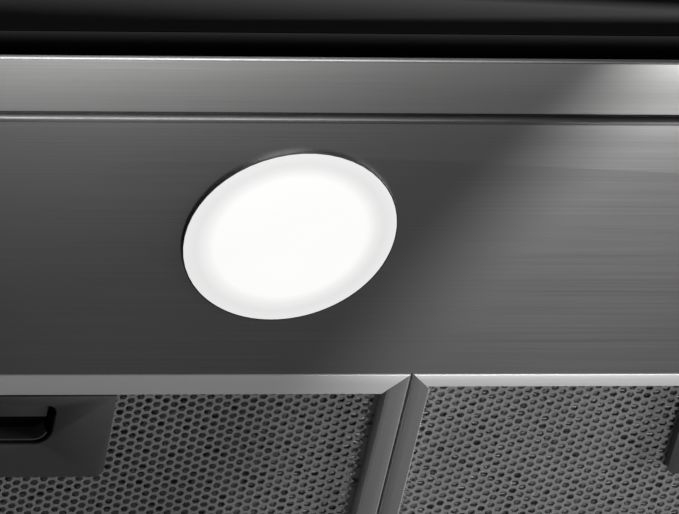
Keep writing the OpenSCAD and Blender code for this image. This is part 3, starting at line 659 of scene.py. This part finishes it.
def make_rails(side):
    """The front rail with mitred ends and the rear rail in three lengths between its notches."""
    low, high, centre_x = filter_box(side)
    height = high.z - low.z
    front = rail_profile(
        RAIL_W, RAIL_FLAT[side], height, outer_radius=0.5 * MM, inner_radius=0.2 * MM)
    rear = rail_profile(
        RAIL_W, RAIL_W - 0.2 * MM, height, outer_radius=3.5 * MM, inner_radius=0.5 * MM)
    bm = bmesh.new()
    start = Vector((low.x + SEAM, low.y, low.z))
    end = Vector((high.x - SEAM, low.y, low.z))
    rail_bar(bm, front, start, end, REARWARDS)
    left_notch = centre_x - NOTCH_X
    right_notch = centre_x + NOTCH_X
    spans = ((low.x + SEAM, left_notch - NOTCH_HALF),
             (left_notch + NOTCH_HALF, right_notch - NOTCH_HALF),
             (right_notch + NOTCH_HALF, high.x - SEAM))
    for from_x, to_x in spans:
        start = Vector((from_x, high.y, low.z))
        end = Vector((to_x, high.y, low.z))
        rail_bar(bm, rear, start, end, -REARWARDS, mitre_start=False, mitre_end=False)
    bmesh.ops.recalc_face_normals(bm, faces=bm.faces)
    make_piece("filter_rails_" + side, bm, "rail_aluminium", "filter_frame_" + side)


def make_stiles(side):
    """The side bars, mitred at the front and ending square before the rear rail."""
    low, high, _ = filter_box(side)
    profile = rail_profile(
        STILE_W, STILE_W - 0.1 * MM, high.z - low.z, outer_radius=0.7 * MM, inner_radius=0.5 * MM)
    bm = bmesh.new()
    for x, inward in ((low.x, RIGHTWARDS), (high.x, -RIGHTWARDS)):
        start = Vector((x, low.y + SEAM, low.z))
        end = Vector((x, high.y - (RAIL_W + SEAM), low.z))
        rail_bar(bm, profile, start, end, inward, mitre_end=False)
    bmesh.ops.recalc_face_normals(bm, faces=bm.faces)
    make_filter_piece("filter_stiles_", side, bm, "stile_aluminium")


def make_hinge_pins(side):
    """A pin across each notch of the rear rail."""
    low, high, centre_x = filter_box(side)
    bm = bmesh.new()
    for x in (centre_x - NOTCH_X, centre_x + NOTCH_X):
        middle = Vector((x, high.y - HINGE_INSET, low.z + HINGE_INSET))
        reach = Vector((NOTCH_HALF + MM, 0, 0))
        add_rod(bm, middle - reach, middle + reach, PIN_R)
    make_filter_piece("filter_hinge_pins_", side, bm, "galvanised_steel")


def make_filter_piece(stem, side, bm, material):
    """A piece that moves with a filter and stands for no CAD node of its own."""
    make_piece(stem + side, bm, material, body="filter_" + side)


def add_rod(bm, start, end, radius, sides=24):
    """A round rod along X with chamfered ends."""
    chamfer = 0.2 * radius
    stations = [(start.x, radius - chamfer), (start.x + chamfer, radius),
                (end.x - chamfer, radius), (end.x, radius - chamfer)]
    turns = [2 * math.pi * step / sides for step in range(sides)]
    rings = []
    for x, r in stations:
        ring = [Vector((x, start.y + r * math.cos(t), start.z + r * math.sin(t))) for t in turns]
        rings.append([bm.verts.new(point) for point in ring])
    for first, second in zip(rings, rings[1:]):
        for i in range(sides):
            j = (i + 1) % sides
            bm.faces.new([first[i], first[j], second[j], second[i]])
    bm.faces.new(rings[0][::-1])
    bm.faces.new(rings[-1])


# The expanded metal: its pitches, half a hole's length at its tips and at its shoulders, half a
# hole's width, how far the strands twist up and down, and the foil's thickness.
LONG_PITCH = 5.9 * MM
SHORT_PITCH = 3.39 * MM
HOLE_TIP = 1.45 * MM
HOLE_SHOULDER = 0.75 * MM
HOLE_HALF_W = 1.02 * MM
TWIST = -0.16 * MM
FOIL = 0.5 * MM
# Each filter's mesh is turned by some degrees, as cut foil is.
MESH_TURN = {"left": 0.0, "middle": 3.3, "right": -1.0}


def expanded_mesh(bm, low, high, z, turn, keep):
    """Expanded metal in a rectangle: staggered six-sided holes between twisted strands."""
    half_l = LONG_PITCH / 2
    half_s = SHORT_PITCH / 2
    middle = (low + high) / 2
    spin = Matrix.Rotation(math.radians(turn), 3, "Z")
    reach = int((high - low).length / LONG_PITCH) + 1
    rows = int((high - low).length / SHORT_PITCH) + 1
    ring = [(HOLE_TIP, 0, 0), (HOLE_SHOULDER, HOLE_HALF_W, TWIST),
            (-HOLE_SHOULDER, HOLE_HALF_W, TWIST), (-HOLE_TIP, 0, 0),
            (-HOLE_SHOULDER, -HOLE_HALF_W, -TWIST), (HOLE_SHOULDER, -HOLE_HALF_W, -TWIST)]
    knuckles = {}

    def place(x, y, height):
        turned = middle + spin @ Vector((x, y, 0))
        kept_x = min(max(turned.x, low.x), high.x)
        kept_y = min(max(turned.y, low.y), high.y)
        return Vector((kept_x, kept_y, z + height))

    def knuckle(i, j):
        if (i, j) not in knuckles:
            knuckles[i, j] = bm.verts.new(place(i * half_l, j * half_s, 0))
        return knuckles[i, j]

    def inside(x, y):
        centre = middle + spin @ Vector((x, y, 0))
        in_rectangle = low.x < centre.x < high.x and low.y < centre.y < high.y
        return in_rectangle and keep(centre.x, centre.y)

    for j in range(-rows, rows):
        for i in range(-2 * reach + j % 2, 2 * reach, 2):
            if not inside(i * half_l, j * half_s):
                continue
            corners = ((i + 1, j), (i, j + 1), (i - 1, j), (i, j - 1))
            east, north, west, south = [knuckle(a, b) for a, b in corners]
            x = i * half_l
            y = j * half_s
            under = [bm.verts.new(place(x + a, y + b, c)) for a, b, c in ring]
            over = [bm.verts.new(place(x + a, y + b, c + FOIL)) for a, b, c in ring]
            for face in ((east, under[0], under[1], north), (north, under[1], under[2]),
                         (north, under[2], under[3], west), (west, under[3], under[4], south),
                         (south, under[4], under[5]), (south, under[5], under[0], east)):
                bm.faces.new(face)
            for k in range(6):
                m = (k + 1) % 6
                bm.faces.new([under[k], over[k], over[m], under[m]])
    bmesh.ops.dissolve_degenerate(bm, dist=0.01 * MM, edges=bm.edges)


# How the mesh sits in its frame: clear of the stiles, under the front rail, short of the rear rail,
# and open behind the latch plate and round the hinge notches.
STILE_GAP = 1.5 * MM
UNDER_FRONT_RAIL = 3.4 * MM
UNDER_REAR_RAIL = 1 * MM
PLATE_HALF_OPENING = 37 * MM
PLATE_LAP = 2 * MM
NOTCH_CLEARANCE = 2 * MM
NOTCH_DEPTH = 15.5 * MM
# Heights over the CAD slab's lower face: the front layer's foot and the inner layers' underside.
FACE_RISE = 0.4 * MM
LAYERS_RISE = 1.5 * MM
LAYERS_DROP = 0.3 * MM


def make_filter_mesh(side):
    """The filter's pressed front layer and, behind it, the slab of finer layers."""
    low, high, centre_x = filter_box(side)
    plate_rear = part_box("latch_plate_" + side)[1].y
    slab_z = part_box("filter_mesh_" + side)[0].z
    inner_low = Vector((low.x + STILE_W + STILE_GAP, low.y + RAIL_W - UNDER_FRONT_RAIL, 0))
    inner_high = Vector((high.x - STILE_W - STILE_GAP, high.y - RAIL_W + UNDER_REAR_RAIL, 0))

    def keep(x, y):
        from_middle = abs(x - centre_x)
        behind_plate = from_middle < PLATE_HALF_OPENING and y < plate_rear - PLATE_LAP
        beside_pin = abs(from_middle - NOTCH_X) < NOTCH_HALF + NOTCH_CLEARANCE
        return not behind_plate and not (beside_pin and y > high.y - NOTCH_DEPTH)

    face = bmesh.new()
    expanded_mesh(face, inner_low, inner_high, slab_z + FACE_RISE, MESH_TURN[side], keep)
    make_piece("filter_mesh_face_" + side, face, "mesh_aluminium", "filter_mesh_" + side)

    layers = cad_bmesh("filter_mesh_" + side)
    for vert in layers.verts:
        vert.co.z += LAYERS_RISE if near(vert.co.z, slab_z) else -LAYERS_DROP
    make_filter_piece("filter_mesh_layers_", side, layers, "mesh_layers")


# The finger recess in a latch plate.
RECESS_W = 43.2 * MM
RECESS_D = 16.7 * MM
RECESS_FROM_FRONT = 5.5 * MM
RECESS_CORNER = 6 * MM
RECESS_SIDE_START = 4 * MM
CUP_WALL = 1.5 * MM
SKIN = 0.02 * MM
# Inset and foot of the black painted-shade sheets inside the recess.
SHADE_SHEET = 0.3 * MM
SHADE_SHEET_FOOT = 0.35 * MM
ROOF_GAP = 0.03 * MM
# The wall's outer and inner side, as insets into the recess, and its foot and crown.
WALL_OUTSIDE = 1.5 * MM
WALL_INSIDE = 2.1 * MM
WALL_FOOT = 0.5 * MM
WALL_CROWN = 6.4 * MM


def recess_path(side, inset):
    """The finger recess's outline without its front side, from front left round to front right."""
    low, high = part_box("latch_plate_" + side)
    centre_x = (low.x + high.x) / 2
    half = RECESS_W / 2 - inset
    front = low.y + RECESS_FROM_FRONT
    rear = front + RECESS_D - inset
    radius = RECESS_CORNER - inset
    left_corner = Vector((centre_x - half + radius, rear - radius, 0))
    right_corner = Vector((centre_x + half - radius, rear - radius, 0))
    path = [Vector((centre_x - half, front + RECESS_SIDE_START, 0))]
    path += circle(left_corner, radius, range(180, 75, -15))
    path += circle(right_corner, radius, range(90, -15, -15))
    path.append(Vector((centre_x + half, front + RECESS_SIDE_START, 0)))
    return path


def standing_wall(bm, outer, inner, bottom, top):
    """A thin wall between two paths; closed at its ends, foot and crown."""
    rows = [[bm.verts.new(p + Vector((0, 0, z))) for p in path]
            for path, z in ((outer, bottom), (outer, top), (inner, top), (inner, bottom))]
    for first, second in zip(rows, rows[1:] + rows[:1]):
        for k in range(len(outer) - 1):
            bm.faces.new([first[k], first[k + 1], second[k + 1], second[k]])
    bm.faces.new([row[0] for row in rows])
    bm.faces.new([row[-1] for row in rows][::-1])


def make_recess_painted_shade(side):
    """Black sheets on the recess's walls and roof: painted shade for the dark inside of the recess.
    """
    low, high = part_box("latch_plate_" + side)
    roof = high.z - CUP_WALL
    bm = bmesh.new()
    inner = recess_path(side, SHADE_SHEET)
    standing_wall(bm, recess_path(side, SKIN), inner, low.z + SHADE_SHEET_FOOT, roof - SKIN)
    top = [bm.verts.new(p + Vector((0, 0, roof - ROOF_GAP))) for p in inner]
    under = [bm.verts.new(p + Vector((0, 0, roof - SHADE_SHEET))) for p in inner]
    bm.faces.new(top)
    bm.faces.new(under[::-1])
    for k in range(len(top)):
        m = (k + 1) % len(top)
        bm.faces.new([top[k], under[k], under[m], top[m]])
    bmesh.ops.recalc_face_normals(bm, faces=bm.faces)
    make_filter_piece("latch_recess_lining_", side, bm, "recess_painted_shade")


def make_recess_wall(side):
    """The plate's own rear wall, which stands in front of the black painted-shade sheets and ends
    before its sides.
    """
    low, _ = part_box("latch_plate_" + side)
    bm = bmesh.new()
    outer = recess_path(side, WALL_OUTSIDE)[2:-2]
    inner = recess_path(side, WALL_INSIDE)[2:-2]
    standing_wall(bm, outer, inner, low.z + WALL_FOOT, low.z + WALL_CROWN)
    bmesh.ops.recalc_face_normals(bm, faces=bm.faces)
    make_filter_piece("latch_recess_wall_", side, bm, "latch_plastic")


for side in SIDES:
    make_rails(side)
    make_stiles(side)
    make_hinge_pins(side)
    make_filter_mesh(side)
    refined("latch_plate_" + side, 0.4)
    make_recess_painted_shade(side)
    make_recess_wall(side)

# ---------------------------------------------------------------- the rest keeps its CAD shape

finished = set()
for piece in bpy.context.scene.objects:
    finished.update(piece.get("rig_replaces", []))
for node in frame["nodes"]:
    if node not in finished:
        give_material(node, SLOT_OF[node])

# ---------------------------------------------------------------- floor, world and lights

FLOOR_Z = -2.65
FLOOR_REACH = 60.0


def make_floor():
    """A wide pale floor, seen from above only, so that views from below pass through it."""
    mesh = bpy.data.meshes.new("floor")
    ends = ((-1, -1), (1, -1), (1, 1), (-1, 1))
    corners = [(x * FLOOR_REACH, y * FLOOR_REACH, FLOOR_Z) for x, y in ends]
    mesh.from_pydata(corners, [], [(0, 1, 2, 3)])
    material, tree, shader, coordinates = start_material("floor", Roughness=0.9)
    tone = noise(tree, coordinates.outputs["Object"], 3.0)
    colours = shade(tree, tone, (0.72, 0.72, 0.72), (0.75, 0.75, 0.75))
    link(tree, colours, shader.inputs["Base Color"])
    clear = add_node(tree, "ShaderNodeBsdfTransparent")
    pick = add_node(tree, "ShaderNodeMixShader")
    geometry = add_node(tree, "ShaderNodeNewGeometry")
    link(tree, geometry.outputs["Backfacing"], pick.inputs[0])
    link(tree, shader.outputs[0], pick.inputs[1])
    link(tree, clear.outputs[0], pick.inputs[2])
    link(tree, pick.outputs[0], tree.nodes["Material Output"].inputs["Surface"])
    mesh.materials.append(material)
    floor = bpy.data.objects.new("floor", mesh)
    bpy.context.scene.collection.objects.link(floor)
    floor.visible_glossy = False


# What reflections see, as (height, grey) from straight below at 0 to straight above at 1.
SKY_STOPS = (
    (0.0, 0.028), (0.2, 0.028), (0.40, 0.176), (0.5, 0.40), (0.62, 0.36),
    (0.75, 0.04), (0.88, 0.028), (0.96, 0.56), (1.0, 0.72),
)


def make_world():
    """Plain grey all round, but reflections see a studio brightest at the horizon and overhead."""
    world = bpy.data.worlds.new("studio")
    bpy.context.scene.world = world
    world.use_nodes = True
    tree = world.node_tree
    background = tree.nodes["Background"]
    coordinates = add_node(tree, "ShaderNodeTexCoord")
    height = separate(tree, coordinates.outputs["Generated"])["Z"]
    ramp = add_node(tree, "ShaderNodeValToRGB")
    stops = ramp.color_ramp.elements
    while len(stops) < len(SKY_STOPS):
        stops.new(0.5)
    for stop, (position, level) in zip(stops, SKY_STOPS):
        stop.position = position
        stop.color = (level, level, level, 1.0)
    link(tree, remap(tree, height, -1.0, 1.0, 0.0, 1.0), ramp.inputs[0])
    plain = add_node(tree, "ShaderNodeBackground")
    plain.inputs["Color"].default_value = (0.5, 0.5, 0.5, 1.0)
    link(tree, ramp.outputs["Color"], background.inputs["Color"])
    rays = add_node(tree, "ShaderNodeLightPath")
    pick = add_node(tree, "ShaderNodeMixShader")
    link(tree, rays.outputs["Is Glossy Ray"], pick.inputs[0])
    link(tree, plain.outputs[0], pick.inputs[1])
    link(tree, background.outputs[0], pick.inputs[2])
    link(tree, pick.outputs[0], tree.nodes["World Output"].inputs["Surface"])


def pieces_named(name, starts):
    """A collection of the meshes whose names start so, for lights that shine on these only."""
    group = bpy.data.collections.new(name)
    for piece in bpy.context.scene.objects:
        if piece.type == "MESH" and piece.name.startswith(starts):
            group.objects.link(piece)
    return group


RECESSED = ("light_panel", "lamp_", "filter_", "latch_")
recessed = pieces_named("recessed", RECESSED)
underside = pieces_named("underside", ("canopy_rim", *RECESSED))


def place_light(name, data, place, target, only_on=None):
    lamp = bpy.data.objects.new(name, data)
    bpy.context.scene.collection.objects.link(lamp)
    lamp.location = place
    lamp.rotation_euler = (Vector(target) - Vector(place)).to_track_quat("-Z", "Y").to_euler()
    lamp.visible_camera = False
    if only_on:
        lamp.light_linking.receiver_collection = only_on


def area_light(name, place, target, size, power, only_on=None):
    data = bpy.data.lights.new(name, "AREA")
    data.size = size
    data.energy = power
    place_light(name, data, place, target, only_on)


HALF_CONE = math.radians(50)


def edge_spot(name, place, edge_point, edge_direction, lit_side, power):
    """A spot whose wide cone just touches a line on the underside and lights one side of it."""
    ray = (edge_point - place).normalized()
    outward = ray.cross(edge_direction).normalized()
    if outward.dot(lit_side) < 0:
        outward = -outward
    axis = math.cos(HALF_CONE) * ray + math.sin(HALF_CONE) * outward
    data = bpy.data.lights.new(name, "SPOT")
    data.spot_size = 2 * HALF_CONE
    data.spot_blend = 0.045
    data.energy = power
    data.shadow_soft_size = 0.02
    place_light(name, data, place, place + axis, underside)


MIRRORED_VIEW = Vector((VIEW_FORWARD.x, VIEW_FORWARD.y, -VIEW_FORWARD.z))


def below(x, y, distance):
    """A fixed place under the hood, mirrored in the underside at x, y from the front left lamp."""
    return FRONT_LEFT_LAMP + Vector((x, y, 0)) + distance * MIRRORED_VIEW


def under(x, y):
    """The underside's point at x, y from the front left lamp."""
    return FRONT_LEFT_LAMP + Vector((x, y, 0))


# The diagonal pool of light on the underside: the direction of its edge and its lit side.
POOL_EDGE = Vector((-0.492, 0.871, 0.0))
POOL_SIDE = Vector((0.871, 0.492, 0.0))
# The glows' centres, from the front left lamp.
LEFT_GLOW = (-0.1, -0.36)
PANEL_GLOW = (-0.05, -0.24)

make_floor()
make_world()
# Each light: place, target, size in metres, watts, and the pieces it shines on if not on all.
area_light("key_softbox", (-2.2, -2.4, 0.9), (0, 0, -0.5), 3.2, 46)
area_light("fill_softbox", (2.6, 1.6, 0.4), (0, 0, -0.6), 2.8, 26)
area_light("side_softbox", (2.3, -0.3, -1.5), (-0.1, -0.15, -0.9), 1.2, 145, recessed)
area_light("left_glow", below(*LEFT_GLOW, 0.25), under(*LEFT_GLOW), 0.15, 8.8, underside)
area_light("panel_glow", below(*PANEL_GLOW, 0.7), under(*PANEL_GLOW), 0.35, 0.07, underside)
edge_spot("pool_spot", below(0.05, -0.42, 0.65), under(0.056, 0.0), POOL_EDGE, POOL_SIDE, 7.4)

scene = bpy.context.scene
scene.view_settings.view_transform = "Standard"
scene.view_settings.look = "None"
